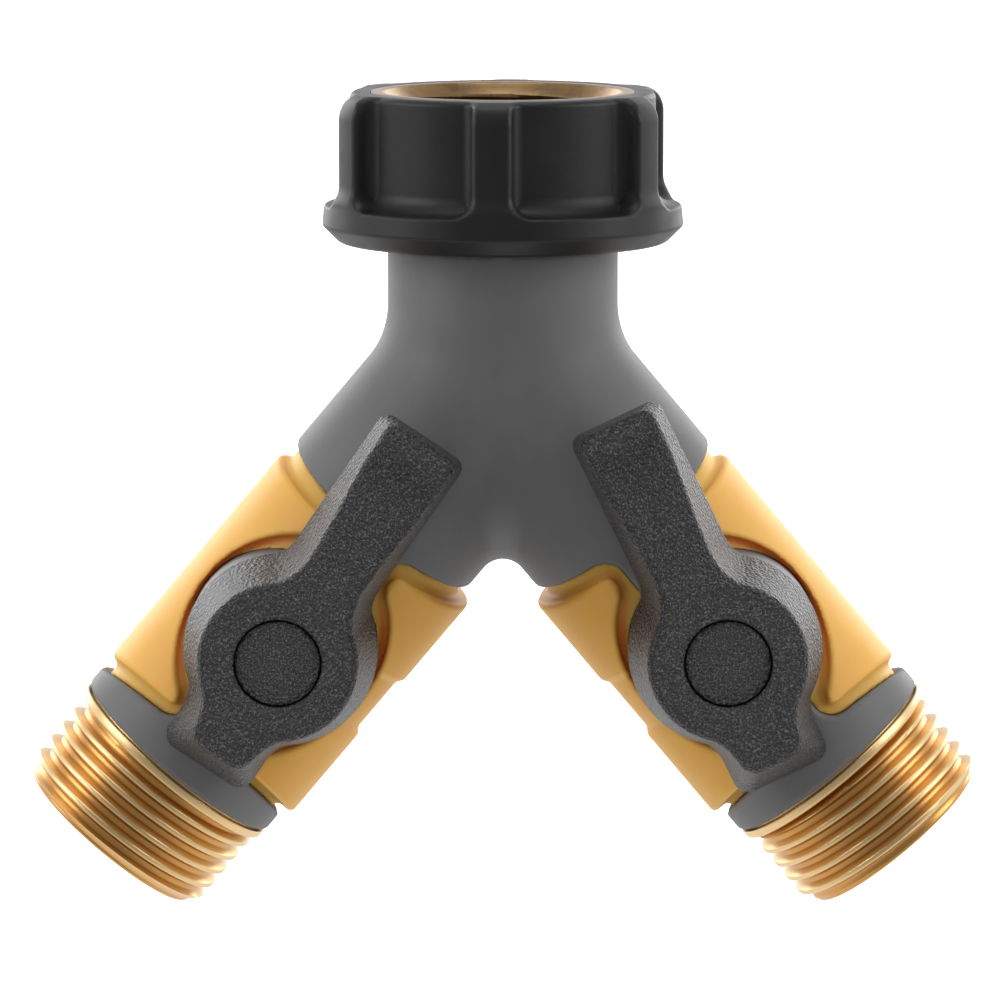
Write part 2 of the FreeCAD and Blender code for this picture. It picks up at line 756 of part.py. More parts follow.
def lever(frame):
    """Moulded lever, hollow underneath, with a post for the stem's square and a well for the screw."""
    low, top = s.lever_base.value, s.lever_top.value
    height, past = top - low, s.lever_reach.value + 1
    shape = lever_solid([(0, 0), (0, height - 1.3), (0.25, height - 0.5), (0.7, height)])
    ceiling = height - s.lever_roof.value
    hollow = lever_solid([(s.lever_wall.value, -1), (s.lever_wall.value, ceiling)])
    post = Part.makeCylinder(s.lever_post_radius.value, ceiling + 2, Vector(0, 0, low - 1))
    shape = shape.cut(hollow.cut(post))
    dipped = top - s.lever_dip.value
    dip = [(s.lever_dip_start.value, top), (s.lever_dip_end.value, dipped), (past, dipped)]
    shape = shape.cut(lever_slab(dip + [(past, top + 1), (s.lever_dip_start.value, top + 1)]))
    rise = [(s.lever_rise_start.value, low), (past, low + s.lever_rise.value)]
    shape = shape.cut(lever_slab(rise + [(past, low - 1), (s.lever_rise_start.value, low - 1)]))
    square = 2 * s.drive_half.value + 0.1
    shape = shape.cut(Part.makeBox(square, square, height, Vector(-square / 2, -square / 2, low - 1)))
    for radius, floor in (
        (s.screw_well_radius.value, s.stem_top.value + 0.3),
        (s.cap_radius.value + 0.1, top - s.cap_thickness.value),
    ):
        shape = shape.cut(Part.makeCylinder(radius, height, Vector(0, 0, floor)))
    made = doc.addObject("Part::Feature", "Lever")
    made.Shape = shape
    made.Placement = frame
    return made


def lever_screw(frame):
    """Pan-head screw that holds the lever on the stem."""
    seat_height = s.stem_top + 0.3
    outline = [
        (Size(0), s.boss_height - 1.5),
        (s.screw_radius - 0.5, s.boss_height - 1.5),
        (s.screw_radius, s.boss_height - 1.0),
        (s.screw_radius, seat_height),
        (s.screw_head_radius, seat_height),
        (s.screw_head_radius, seat_height + 1.1),
        (s.screw_head_radius - 1, seat_height + 1.9),
        (Size(0), seat_height + 2.1),
    ]
    blade = [
        block(Size(4.0), Size(0.8), Size(2.0), offset(frame, z=seat_height.value + 0.8)),
        block(Size(0.8), Size(4.0), Size(2.0), offset(frame, z=seat_height.value + 0.8)),
    ]
    return cut(turned(outline, frame), *blade)


def lever_cap(frame):
    """Press-in disc with a short skirt."""
    disc = s.lever_top - s.cap_thickness
    skirt = s.cap_skirt_radius
    return turned(
        [
            (Size(0), disc),
            (skirt - 0.7, disc),
            (skirt - 0.7, disc - 0.9),
            (skirt, disc - 0.9),
            (skirt, disc),
            (s.cap_radius, disc),
            (s.cap_radius, s.lever_top - 0.25),
            (s.cap_radius - 0.25, s.lever_top),
            (Size(0), s.lever_top),
        ],
        frame,
    )


# ---------------------------------------------------------------- the assembly


def build():
    nut = raised(s.mouth_height.value - s.nut_height.value, s.nut_turn.value)
    keep(nut_insert(nut), "nut_thread_insert")
    keep(nut_cover(nut), "nut_cover")
    keep(inlet_washer(raised(-s.washer_thickness.value)), "inlet_washer")
    keep(tailpiece(raised(-s.tail_drop.value)), "inlet_tailpiece")
    ring_height = 5.0 - s.tail_drop.value
    keep(o_ring(s.tail_radius - 0.5, Size(0.5), raised(ring_height)), "tailpiece_oring")
    keep(core_body(), "core_body")
    keep(y_cover(), "y_cover")
    for side in ARM_WAY:
        arm, valve = arm_frame(side), valve_frame(side)
        keep(grip(side), f"{side}_grip")
        keep(outlet(arm), f"{side}_outlet")
        ring_at = s.outlet_groove.value + s.outlet_groove_width.value / 2
        ring_middle = s.chamber_radius - 0.62
        keep(o_ring(ring_middle, Size(0.6), offset(arm, z=ring_at)), f"{side}_outlet_oring")
        keep(seat(arm, False), f"{side}_inner_seat")
        keep(seat(arm, True), f"{side}_outer_seat")
        keep(valve_ball(valve), f"{side}_ball")
        keep(stem(valve), f"{side}_stem")
        keep(stem_rings(valve), f"{side}_stem_orings")
        keep(thrust_washer(valve), f"{side}_thrust_washer")
        keep(lever(valve), f"{side}_lever")
        keep(lever_screw(valve), f"{side}_lever_screw")
        keep(lever_cap(valve), f"{side}_lever_cap")
    doc.recompute()


def export():
    """Stops on any failed feature, then writes one STEP per piece."""
    for feature in doc.Objects:
        bad = {"Invalid", "Error"} & set(feature.State)
        if bad:
            raise RuntimeError(f"{feature.Label} is {sorted(bad)}")
    os.makedirs("parts", exist_ok=True)
    for piece in NODES:
        shape = piece.Shape
        if shape.isNull() or not shape.isValid() or not shape.Solids:
            raise RuntimeError(f"{piece.Label} has no valid solid")
        print(f"{piece.Label}: {len(shape.Solids)} solid, {shape.Volume:.1f} mm3")
        shape.exportStep(f"parts/{piece.Label}.step")


build()
export()
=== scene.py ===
"""Looks of the garden hose splitter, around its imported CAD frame.

Shapes are worked out in millimetres, each in a frame of its own, and become metres when their mesh is
made. A moulded shape is a function that gives each point's distance to the surface, below zero inside.
"""

import json
import math

import bmesh
import bpy
import numpy as np
from mathutils import Matrix, Vector


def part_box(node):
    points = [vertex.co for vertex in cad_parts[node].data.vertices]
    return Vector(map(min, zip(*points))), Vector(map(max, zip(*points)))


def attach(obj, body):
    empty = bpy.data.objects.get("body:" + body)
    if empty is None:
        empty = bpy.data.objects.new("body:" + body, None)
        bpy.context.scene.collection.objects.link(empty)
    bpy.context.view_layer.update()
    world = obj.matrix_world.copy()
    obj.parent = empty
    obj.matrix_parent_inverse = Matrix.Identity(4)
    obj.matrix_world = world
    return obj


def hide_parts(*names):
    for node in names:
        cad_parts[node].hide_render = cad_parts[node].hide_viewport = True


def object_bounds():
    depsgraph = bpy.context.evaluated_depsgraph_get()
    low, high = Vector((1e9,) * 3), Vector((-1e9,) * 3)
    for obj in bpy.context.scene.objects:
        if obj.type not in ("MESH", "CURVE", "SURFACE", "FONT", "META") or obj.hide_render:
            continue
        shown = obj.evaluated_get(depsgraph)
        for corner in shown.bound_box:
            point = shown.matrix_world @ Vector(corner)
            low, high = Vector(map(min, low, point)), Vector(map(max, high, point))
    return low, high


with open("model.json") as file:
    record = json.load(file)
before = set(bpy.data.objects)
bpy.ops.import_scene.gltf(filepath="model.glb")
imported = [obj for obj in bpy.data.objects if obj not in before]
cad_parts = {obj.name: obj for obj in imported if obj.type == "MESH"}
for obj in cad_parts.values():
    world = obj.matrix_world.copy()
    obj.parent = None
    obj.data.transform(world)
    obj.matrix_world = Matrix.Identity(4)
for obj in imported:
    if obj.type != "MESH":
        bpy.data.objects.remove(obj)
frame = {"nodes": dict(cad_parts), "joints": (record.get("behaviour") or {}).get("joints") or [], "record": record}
cad_low, cad_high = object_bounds()

MM = 0.001

# ---------------------------------------------------------------- places, from the frame

mounts = {m["name"]: m for m in frame["record"]["mounts"]}
joints = {j["name"]: j for j in frame["joints"]}

ARM_X, _, ARM_Z = mounts["right_outlet_thread"]["axis"]
ARM_ANGLE = math.degrees(math.atan2(ARM_X, -ARM_Z))
SIDES = {"left": -1, "right": 1}


def along_arm(place):
    """How far down the right arm a place in metres is, in millimetres."""
    return place[0] / ARM_X / MM


OUTLET_END = along_arm(mounts["right_outlet_seal"]["pos_m"])
VALVE_AT = along_arm(joints["right_valve_turn"]["pos_m"])
THREAD_MIDDLE = mounts["right_outlet_thread"]
JUNCTION_Z = THREAD_MIDDLE["pos_m"][2] / MM - along_arm(THREAD_MIDDLE["pos_m"]) * ARM_Z
THREAD_CREST = THREAD_MIDDLE["dims"]["r_mm"]
OUTLET_BORE = mounts["right_outlet_bore"]["dims"]["r_mm"]
INLET_CREST = mounts["inlet_thread"]["dims"]["r_mm"]

nut_low, nut_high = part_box("nut_cover")
NUT_BOTTOM, NUT_TOP = nut_low.z / MM, nut_high.z / MM
NUT_FLANGE = nut_high.x / MM
LEVER_TOP = -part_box("right_lever")[0].y / MM
LEVER_BASE = -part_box("right_lever")[1].y / MM
NECK_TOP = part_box("y_cover")[1].z / MM

# ---------------------------------------------------------------- sizes, in millimetres

PITCH = 2.209
THREAD_TURN = {"left": math.pi, "right": 0.0}
THREAD_DEPTH = 1.2
RUN_IN, RUN_OUT = 1.6, 0.95  # how steeply a thread grows at its start and fades at its end
SPIGOT = 9.58
SPIGOT_START = VALVE_AT + 7.8
WATERWAY = 6.5
GROOVE = 53.6
GROOVE_WIDTH = 2.2
GROOVE_DEPTH = 1.3

NECK = 13.9
NECK_TAPER = 7  # the height in which the neck narrows to the collar
COLLAR = 13.65
RING = 14.0
LAND = 13.9
LAND_END = 63.2
SLEEVE = 12.1
CORE_NECK = 11.9
CORE_ARM = 11.0
BONNET = 7.2
BOSS = 11.4
BOSS_TOP = 14.6
NECK_BLEND = 10.5
CROTCH_BLEND = 3.0
CROTCH_SPREAD = 3.5  # how much wider that fillet grows to the front and the back
CROTCH_SPREAD_AT = (6, 13)
WIDENING = (30, 55)  # where along the arm the collar's radius becomes the ring's
COLLAR_END = (22.6, 24.1)  # at the arm's sides and at its front
RING_START = (59.3, 56.5)
RING_END = 61.7
BRIDGE_HALF = 3.5
BRIDGE_BLEND = 2.6
FRONT_FROM = 3  # how far before the arm's axis the shapes of its front begin
STEP_EDGE = 0.45  # rounding of the raised collar, ring and bridges
BOSS_EDGE = 0.5
BOSS_FILLET = 0.4
COVER_EDGE = 0.5

GRIP = 12.75
PAD = 14.6
PAD_SHIFT = 0.5
PAD_LEAN = 0.45  # how far the pads' ends lean along the arm
PAD_CORNER = 1.1
PAD_EDGE = 0.75
PAD_FILLET = 0.9
PAD_GAP = (2.0, 1.45)  # bare strip between the pads and the collar, and the pads and the ring
RECESS = (14.0, 11.8)  # half axes of the pads' oval recess, along and across the arm
RECESS_AT = 41.1
SLOT_HALF = 5.05
NOTCH = (36.9, 45.0)
NOTCH_DEPTH = 0.6
NOTCH_SLOPE = 0.6
NOTCH_SIDE = (7, 11)
GRIP_GAP = 0.04
GRIP_EDGE = 0.2

LEVER_HUB = 11.7
LEVER_HALF = 5.9
LEVER_REACH = 31.3
STUB_HALF = 6.1
STUB_REACH = 17.1
STUB_DRAFT = math.radians(20.0)
LEVER_BLEND = 3.4
LEVER_DRAFT = math.radians(12.5)
LEVER_CORNER = 1.5
STUB_CORNER = 2.0
LEVER_WALL = 2.2
LEVER_ROOF = 3.0
LEVER_DIP = 2.4  # how far the top face falls towards the tip
LEVER_DIP_AT = (8.0, 25.5)
LEVER_LIP = 0.45  # how far it rises again at the tip
LEVER_LIP_AT = (25.5, 28.5)
LEVER_RISE = 3.0  # how far the underside rises towards the tip
LEVER_RISE_AT = (15.0, 31.0)
LEVER_EDGE = 0.9
LEVER_FOOT = 0.4
POST = 6.6
SQUARE_HALF = 2.85
SCREW_FLOOR = 21.5
SCREW_WELL = 4.6
CAP = 5.05
CAP_GAP = 0.16
CAP_SEAT = 1.3
CAP_SKIRT = (3.8, 4.5)
CAP_SKIRT_DEPTH = 0.9
CAP_SEGMENTS = 96

NUT_TURN = math.radians(-3.7)
RIBS = 6
RIB_HALF = 2.4
RIB_TOP = 21.0
RIB_BEVEL = 1.5
RIB_EDGE = 0.7
RIB_CROWN = 1.0
RIB_FILLET = 1.2
POCKET_FLOOR = 18.4
POCKET_FILLET = 2.3
FLANGE_HEIGHT = 4.6
FLANGE_BEVEL = 2.1
FLANGE_LEAN = 0.1
FLANGE_FILLET = 2.8
FLANGE_EDGE = 0.35
NUT_RIM = 0.8
NUT_FOOT = 0.4
SKIRT = 0.5  # height of the ledge that holds the insert
INSERT = 16.0

SEGMENTS = 144
CELLS = {"cover": 0.5, "grip": 0.36, "lever": 0.25, "nut": 0.3}
CREASE_REACH = 1.6
WELD = 2e-6  # in metres
SHARP = math.radians(40)
FLOOR_HALF = 6.0  # in metres, as are the rest of the stage's sizes
FLOOR_GAP = 0.0002
WHITE = (0.93, 0.93, 0.93, 1.0)
ROOM_AXIS = (0.0, 0.9, -0.45)
ROOM_RANGE = (-0.8, 0.6)
SIDE_BOX = ((0.8, -0.25, 0.35), 0.5, 3.0)  # place, size and power
SIDE_RIM = ((0.5, 0.75, 0.25), 0.5, 2.6)
TOP_BOX = ((0.0, -0.1, 0.9), 0.6, 2.5)
CAMERA_AIM = (-0.34, 0.0, -40.05)
CAMERA_DISTANCE = 0.7455
CAMERA_TILT = math.radians(8.1)
LENS = 221.04

ROOM_FRONT, ROOM_BACK = 0.35, 1.2  # how bright the room is before and behind the splitter

# ---------------------------------------------------------------- distances


def both(a, b, radius=0.0):
    """Inside both, with the edge between them rounded."""
    if radius == 0:
        return np.maximum(a, b)
    corner = np.hypot(np.maximum(a + radius, 0), np.maximum(b + radius, 0))
    return np.minimum(np.maximum(a, b), -radius) + corner


def either(a, b, radius=0.0):
    """Inside either, with the groove between them filled."""
    if radius == 0:
        return np.minimum(a, b)
    corner = np.hypot(np.maximum(radius - a, 0), np.maximum(radius - b, 0))
    return np.maximum(np.minimum(a, b), radius) - corner


def rolled(a, b, cosine, radius):
    """Inside either, with the fillet of a rolling ball. Cosine is between the two surfaces' normals."""
    u, w = radius - a, radius - b
    sine = np.maximum(1 - cosine**2, 1e-6)
    fillet = radius - np.sqrt(np.maximum(u * u + w * w - 2 * u * w * cosine, 0) / sine)
    reached = (u > w * cosine) & (w > u * cosine)
    return np.where(reached, fillet, np.minimum(a, b))


def smooth_step(value, low, high):
    """From 0 at low to 1 at high, without a kink."""
    t = np.clip((value - low) / (high - low), 0, 1)
    return t * t * (3 - 2 * t)


def arm_places(across, depth, height):
    """Along the arm, to its outer side, to the front, and out from its axis."""
    drop = height - JUNCTION_Z
    along = across * ARM_X + drop * ARM_Z
    outer = drop * ARM_X - across * ARM_Z
    return along, outer, -depth, np.hypot(outer, depth)


def facing(front, radius):
    """One at the front of an arm, falling to nothing at its sides."""
    return np.clip(front / np.maximum(radius, 1), 0, 1)


# ---------------------------------------------------------------- grey cover


def cover_plan(along, outer, front, radius):
    """Where the cover stands above the grip: collar, end ring, and the bridges to the valve boss."""
    turn = facing(front, radius)
    collar = along - (COLLAR_END[0] + (COLLAR_END[1] - COLLAR_END[0]) * turn)
    ring = RING_START[0] + (RING_START[1] - RING_START[0]) * turn - along
    strip = both(np.abs(outer) - BRIDGE_HALF, FRONT_FROM - front)
    return either(either(collar, strip, BRIDGE_BLEND), ring, BRIDGE_BLEND)


def boss_distance(along, outer, front):
    """The round boss that the lever turns over."""
    boss = both(np.hypot(along - VALVE_AT, outer) - BOSS, front - BOSS_TOP, BOSS_EDGE)
    return both(boss, -front)


def blended_arms(x, y, z):
    """Neck and both arms as one branching body."""
    neck_out = np.hypot(x, y)
    narrow = smooth_step(JUNCTION_Z + NECK_TAPER - z, 0, NECK_TAPER)
    neck_radius = NECK + (COLLAR - NECK) * narrow
    neck = np.hypot(neck_out, np.minimum(z - JUNCTION_Z, 0)) - neck_radius
    arms = []
    for sign in SIDES.values():
        along, outer, _, out = arm_places(x * sign, y, z)
        radius = COLLAR + (RING - COLLAR) * smooth_step(along, *WIDENING)
        arms.append((np.hypot(out, np.minimum(along, 0)) - radius, outer, out, x * sign))
    body = neck
    fading = neck + np.maximum(JUNCTION_Z - z, 0)
    for distance, outer, out, across in arms:
        cosine = (y * y - across * ARM_Z * outer) / np.maximum(neck_out * out, 1)
        body = np.minimum(body, rolled(fading, distance, cosine, NECK_BLEND))
    (left, left_outer, left_out, _), (right, right_outer, right_out, _) = arms
    spread = ARM_Z**2 - ARM_X**2
    cosine = (y * y - spread * left_outer * right_outer) / np.maximum(left_out * right_out, 1)
    valley = CROTCH_BLEND + CROTCH_SPREAD * smooth_step(np.abs(y), *CROTCH_SPREAD_AT)
    return np.minimum(body, rolled(left, right, cosine, valley))


def core_space(along, outer, front, radius, x, y, z):
    """What the brass core and the stems take inside the cover."""
    neck = np.hypot(np.hypot(x, y), np.minimum(z - JUNCTION_Z, 0)) - CORE_NECK
    arm = np.hypot(radius, np.minimum(along, 0)) - CORE_ARM
    bonnet = both(np.hypot(along - VALVE_AT, outer) - BONNET, -front)
    return np.minimum(np.minimum(neck, arm), bonnet)


def cover(points):
    """In the splitter's frame. Both arms are one shape, mirrored."""
    x, y, z = points.T
    place = arm_places(np.abs(x), y, z)
    along, outer, front, radius = place
    raised = both(blended_arms(x, y, z), cover_plan(*place), STEP_EDGE)
    sleeve = np.hypot(radius, np.minimum(along, 0)) - SLEEVE
    shape = either(np.minimum(raised, sleeve), boss_distance(along, outer, front), BOSS_FILLET)
    shape = both(shape, along - RING_END, COVER_EDGE)
    shape = both(shape, z - NECK_TOP, COVER_EDGE)
    return both(shape, -core_space(*place, x, y, z))


# ---------------------------------------------------------------- grips


def pad_plan(along, outer, front, radius):
    """Where a grip has its raised pads: two at the front, round an oval recess, joined at the back."""
    turn = facing(front, radius)
    collar = COLLAR_END[0] + (COLLAR_END[1] - COLLAR_END[0]) * turn
    ring = RING_START[0] + (RING_START[1] - RING_START[0]) * turn
    lean = outer / PAD * PAD_LEAN
    band = np.maximum(collar + PAD_GAP[0] + lean - along, along - (ring - PAD_GAP[1] - lean))
    ahead = along - RECESS_AT
    oval = np.hypot(ahead / RECESS[0], outer / RECESS[1])
    slope = np.hypot(ahead / RECESS[0] ** 2, outer / RECESS[1] ** 2) / np.maximum(oval, 1e-3)
    oval = (oval - 1) / np.maximum(slope, 1e-3)
    behind = FRONT_FROM - front
    plan = both(band, -both(oval, behind), PAD_CORNER)
    return both(plan, -both(np.abs(outer) - SLOT_HALF, behind), PAD_CORNER)


def grip(points):
    """In the arm's own frame: outer side, depth, along."""
    outer, depth, along = points.T
    front, radius = -depth, np.hypot(outer, depth)
    place = (along, outer, front, radius)
    notch = smooth_step(along, NOTCH[0] - NOTCH_SLOPE, NOTCH[0] + NOTCH_SLOPE)
    notch = notch * (1 - smooth_step(along, NOTCH[1] - NOTCH_SLOPE, NOTCH[1] + NOTCH_SLOPE))
    notch = notch * smooth_step(-outer, *NOTCH_SIDE) * NOTCH_DEPTH
    pads = both(np.hypot(outer + PAD_SHIFT, depth) - PAD + notch, pad_plan(*place), PAD_EDGE)
    shape = either(radius - GRIP, pads, PAD_FILLET)
    shape = both(shape, SLEEVE + 0.02 - radius)
    shape = both(shape, GRIP_GAP - cover_plan(*place), GRIP_EDGE)
    boss = both(np.hypot(along - VALVE_AT, outer) - BOSS, -front)
    return both(shape, GRIP_GAP - boss, GRIP_EDGE)


# ---------------------------------------------------------------- levers


def lever_walls(x, y, rise):
    """The lever's side walls, which lean in as they rise from its underside."""
    lean = math.tan(LEVER_DRAFT)
    out = np.hypot(x, y)
    hub = out - LEVER_HUB + rise * lean
    arm = both(np.abs(y) - LEVER_HALF + rise * lean, x - LEVER_REACH, LEVER_CORNER)
    arm = both(arm, -x)
    stub_end = -x - STUB_REACH + rise * math.tan(STUB_DRAFT)
    stub = both(np.abs(y) - STUB_HALF + rise * lean, stub_end, STUB_CORNER)
    stub = both(stub, x)
    cosine = np.abs(y) / np.maximum(out, 1)
    blend = LEVER_BLEND + rise * lean
    walls = np.minimum(rolled(hub, arm, cosine, blend), rolled(hub, stub, cosine, blend))
    return walls * math.cos(LEVER_DRAFT)


def lever(points):
    """In the lever's own frame: along it, across it, and out from the arm's axis."""
    x, y, z = points.T
    out = np.hypot(x, y)
    crown = LEVER_TOP - LEVER_DIP * smooth_step(x, *LEVER_DIP_AT)
    crown = crown + LEVER_LIP * smooth_step(x, *LEVER_LIP_AT)
    under = LEVER_BASE + LEVER_RISE * smooth_step(x, *LEVER_RISE_AT)
    walls = lever_walls(x, y, z - under)
    shape = both(walls, z - crown, LEVER_EDGE)
    shape = both(shape, under - z, LEVER_FOOT)
    ceiling = crown - LEVER_ROOF
    hollow = both(both(walls + LEVER_WALL, z - ceiling, 0.5), POST - out, 0.5)
    shape = both(shape, -hollow, 0.2)
    square = both(np.abs(x) - SQUARE_HALF, np.abs(y) - SQUARE_HALF)
    shape = both(shape, -both(square, z - SCREW_FLOOR))
    shape = both(shape, -both(out - SCREW_WELL, SCREW_FLOOR - z))
    well = both(out - CAP - CAP_GAP, LEVER_TOP - CAP_SEAT - z)
    return both(shape, -well, 0.2)


# ---------------------------------------------------------------- swivel nut


def nut(points):
    """Six ribs with finger pockets between them, over a bevelled flange."""
    x, y, z = points.T
    out = np.hypot(x, y)
    turn = np.arctan2(x, -y) - NUT_TURN
    sector = 2 * math.pi / RIBS
    turn = np.abs((turn + sector / 2) % sector - sector / 2)
    beside = out * np.sin(turn)
    bevel = (out - RIB_TOP + z - NUT_TOP + RIB_BEVEL) / math.sqrt(2)
    rib = both(both(out - RIB_TOP, beside - RIB_HALF, RIB_EDGE), bevel, RIB_CROWN)
    floor = out - POCKET_FLOOR
    foot = z - NUT_BOTTOM - FLANGE_HEIGHT
    ribbed = np.minimum(either(floor, foot, POCKET_FILLET), either(floor, rib, RIB_FILLET))
    ribbed = np.minimum(ribbed, either(rib, foot, FLANGE_FILLET))
    edge = z - NUT_BOTTOM - FLANGE_BEVEL
    side = out - NUT_FLANGE + FLANGE_LEAN * np.clip(edge, 0, FLANGE_HEIGHT - FLANGE_BEVEL)
    under = (out - NUT_FLANGE - edge) / math.sqrt(2)
    ribbed = both(both(ribbed, side, FLANGE_EDGE), under, 0.2)
    shape = both(ribbed, z - NUT_TOP, NUT_RIM)
    shape = both(shape, NUT_BOTTOM - z, NUT_FOOT)
    hole = np.where(z > NUT_BOTTOM + SKIRT, INSERT, INSERT - 1)
    return both(shape, hole - out, 0.25)


# ---------------------------------------------------------------- meshing


def steepest(distance, points, reach):
    """Unit vectors along which the distance grows."""
    slope = np.empty_like(points)
    for axis in range(3):
        step = np.zeros(3)
        step[axis] = reach
        slope[:, axis] = distance(points + step) - distance(points - step)
    return slope / np.maximum(np.linalg.norm(slope, axis=1, keepdims=True), 1e-9)


def crossings(axes, value):
    """Grid edges that the surface crosses: their low node, axis, share of the way, and direction."""
    found = []
    for axis in range(3):
        low = [slice(None)] * 3
        high = [slice(None)] * 3
        low[axis], high[axis] = slice(None, -1), slice(1, None)
        before, after = value[tuple(low)], value[tuple(high)]
        node = np.argwhere((before < 0) != (after < 0))
        first, second = before[tuple(node.T)], after[tuple(node.T)]
        place = np.stack([axes[k][node[:, k]] for k in range(3)], 1)
        share = first / (first - second)
        place[:, axis] += share * (axes[axis][1] - axes[axis][0])
        found.append((axis, node, place, first < 0))
    return found


def contour(distance, low, high, kind):
    """Points and quads of the surface inside a box, by dual contouring, which keeps edges crisp."""
    step = CELLS[kind]
    axes = [np.arange(a - 1.5 * step, b + 2.5 * step, step) for a, b in zip(low, high)]
    count = [len(a) for a in axes]
    grid = np.stack(np.meshgrid(*axes, indexing="ij"), -1).reshape(-1, 3)
    value = np.concatenate([distance(part) for part in np.array_split(grid, 24)]).reshape(count)
    strides = np.array([count[1] * count[2], count[2], 1])
    cells, places, outward = [], [], []
    for axis, node, place, rising in crossings(axes, value):
        a, b = strides[(axis + 1) % 3], strides[(axis + 2) % 3]
        corner = node @ strides
        ring = np.stack([corner, corner - a, corner - a - b, corner - b], 1)
        cells.append(np.where(rising[:, None], ring, ring[:, ::-1]))
        places.append(place)
        outward.append(steepest(distance, place, step * 0.1))
    cells, places, outward = map(np.concatenate, (cells, places, outward))
    used, quads = np.unique(cells, return_inverse=True)
    quads = quads.reshape(cells.shape)

    def gathered(values):
        return sum(np.bincount(quads[:, k], values, len(used)) for k in range(4))

    number = gathered(np.ones(len(places)))
    middle = np.stack([gathered(places[:, k]) for k in range(3)], 1) / number[:, None]
    reach = (outward * places).sum(1)
    pull = np.stack([gathered(outward[:, k] * reach) for k in range(3)], 1)
    matrix = np.empty((len(used), 3, 3))
    for i in range(3):
        for j in range(3):
            matrix[:, i, j] = gathered(outward[:, i] * outward[:, j])
    pull -= np.einsum("cij,cj->ci", matrix, middle)
    matrix += np.eye(3) * 0.05 * number[:, None, None]
    shift = np.linalg.solve(matrix, pull[:, :, None])[:, :, 0]
    points = middle + np.clip(shift, -step, step)
    error = np.clip(distance(points), -step / 4, step / 4)
    points -= steepest(distance, points, step * 0.1) * error[:, None]
    return points, quads


def creases(distance, points, outward, reach):
    """How closed-in each point of the surface is, from 0 in the open to 1 in a deep corner."""
    total = np.zeros(len(points))
    for share in (0.35, 0.7, 1.0):
        room = distance(points + outward * reach * share)
        total += np.clip(1 - room / (reach * share), 0, 1)
    return total / 3


def add_piece(name, points, faces, matrix, body, node, slot, material):
    """A mesh whose points, in millimetres, are placed by matrix and made metres."""
    placed = points @ np.array(matrix.to_3x3()).T + np.array(matrix.translation)
    if matrix.determinant() < 0:
        faces = [face[::-1] for face in faces]
    mesh = bpy.data.meshes.new(name)
    mesh.from_pydata((placed * MM).tolist(), [], [list(map(int, face)) for face in faces])
    mesh.materials.append(material)
    piece = bpy.data.objects.new(name, mesh)
    bpy.context.scene.collection.objects.link(piece)
    mesh.shade_smooth()
    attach(piece, body)
    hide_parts(node)
    return piece


def moulded(name, distance, mesh, matrix, body, node, slot, material):
    """A piece from a distance and its contour, shaded by the distance's own slope."""
    points, quads = mesh
    outward = steepest(distance, points, 0.02)
    piece = add_piece(name, points, quads, matrix, body, node, slot, material)
    # this closed-in mask is kept on the mesh for painted crease shade in the rubber colours
    crease_shade = creases(distance, points, outward, CREASE_REACH)
    layer = piece.data.attributes.new("crease_shade", "FLOAT", "POINT")
    layer.data.foreach_set("value", crease_shade.astype(np.float32))
    shade(piece.data, outward @ np.array(matrix.to_3x3()).T)
    return piece


def shade(mesh, outward):
    """Smooth normals, except at edges, where each face keeps its own."""
    corner_point = np.empty(len(mesh.loops), np.int32)
    mesh.loops.foreach_get("vertex_index", corner_point)
    flat = np.empty(len(mesh.polygons) * 3, np.float32)
    mesh.polygons.foreach_get("normal", flat)
    face = np.repeat(flat.reshape(-1, 3), 4, axis=0)
    smooth = outward[corner_point]
    close = (face * smooth).sum(1) > math.cos(math.radians(38))
    mesh.normals_split_custom_set(np.where(close[:, None], smooth, face).tolist())


# ---------------------------------------------------------------- turned pieces


def helix(thread, share):
    """One column's (radius, height) rows of a thread, at a share of a full turn."""
    profile, low, high, limit = thread
    turns = math.ceil((high - low) / PITCH) + 1
    rows = [(radius, k + part) for k in range(turns) for part, radius in profile]
    rows.append((profile[0][1], turns))
    section = []
    for radius, rise in rows:
        height = min(max(low + PITCH * (rise + share - 1), low), high)
        section.append((limit(radius, height), height))
    return section


def turned(name, before, after, thread, placing, segments=SEGMENTS):
    """A piece turned about Z. Its closed section runs through before, the thread and after."""
    points, faces = [], []
    pitch_rows = len(thread[0]) if thread else 0
    for j in range(segments):
        turn = 2 * math.pi * j / segments
        spiral = helix(thread, j / segments) if thread else []
        section = before + spiral + after
        points += [(r * math.cos(turn), r * math.sin(turn), h) for r, h in section]
    rows, first = len(section), len(before)
    last = first + len(spiral) - 1

    def followed(row, shift):
        return min(row + shift, last) if first <= row <= last else row

    for j in range(segments):
        shift = pitch_rows if j == segments - 1 else 0
        here, there = j * rows, (j + 1) % segments * rows
        for i in range(rows):
            k = (i + 1) % rows
            faces.append((here + i, there + followed(i, shift), there + followed(k, shift), here + k))
    piece = add_piece(name, np.array(points), faces, *placing)
    tidy = bmesh.new()
    tidy.from_mesh(piece.data)
    bmesh.ops.remove_doubles(tidy, verts=tidy.verts, dist=WELD)
    bmesh.ops.recalc_face_normals(tidy, faces=tidy.faces)
    tidy.to_mesh(piece.data)
    tidy.free()
    piece.data.shade_smooth()
    piece.data.set_sharp_from_angle(angle=SHARP)
    return piece


def thread_profile(crest, root):
    """One pitch of a rounded thread: (share of the pitch, radius), starting in the root."""
    steps = ((0.0, 0.0), (0.12, 0.0), (0.19, 0.08), (0.34, 0.83), (0.39, 0.97), (0.43, 1.0))
    rise = [(share, root + (crest - root) * height) for share, height in steps]
    return rise + [(1 - share, radius) for share, radius in reversed(rise[1:])]


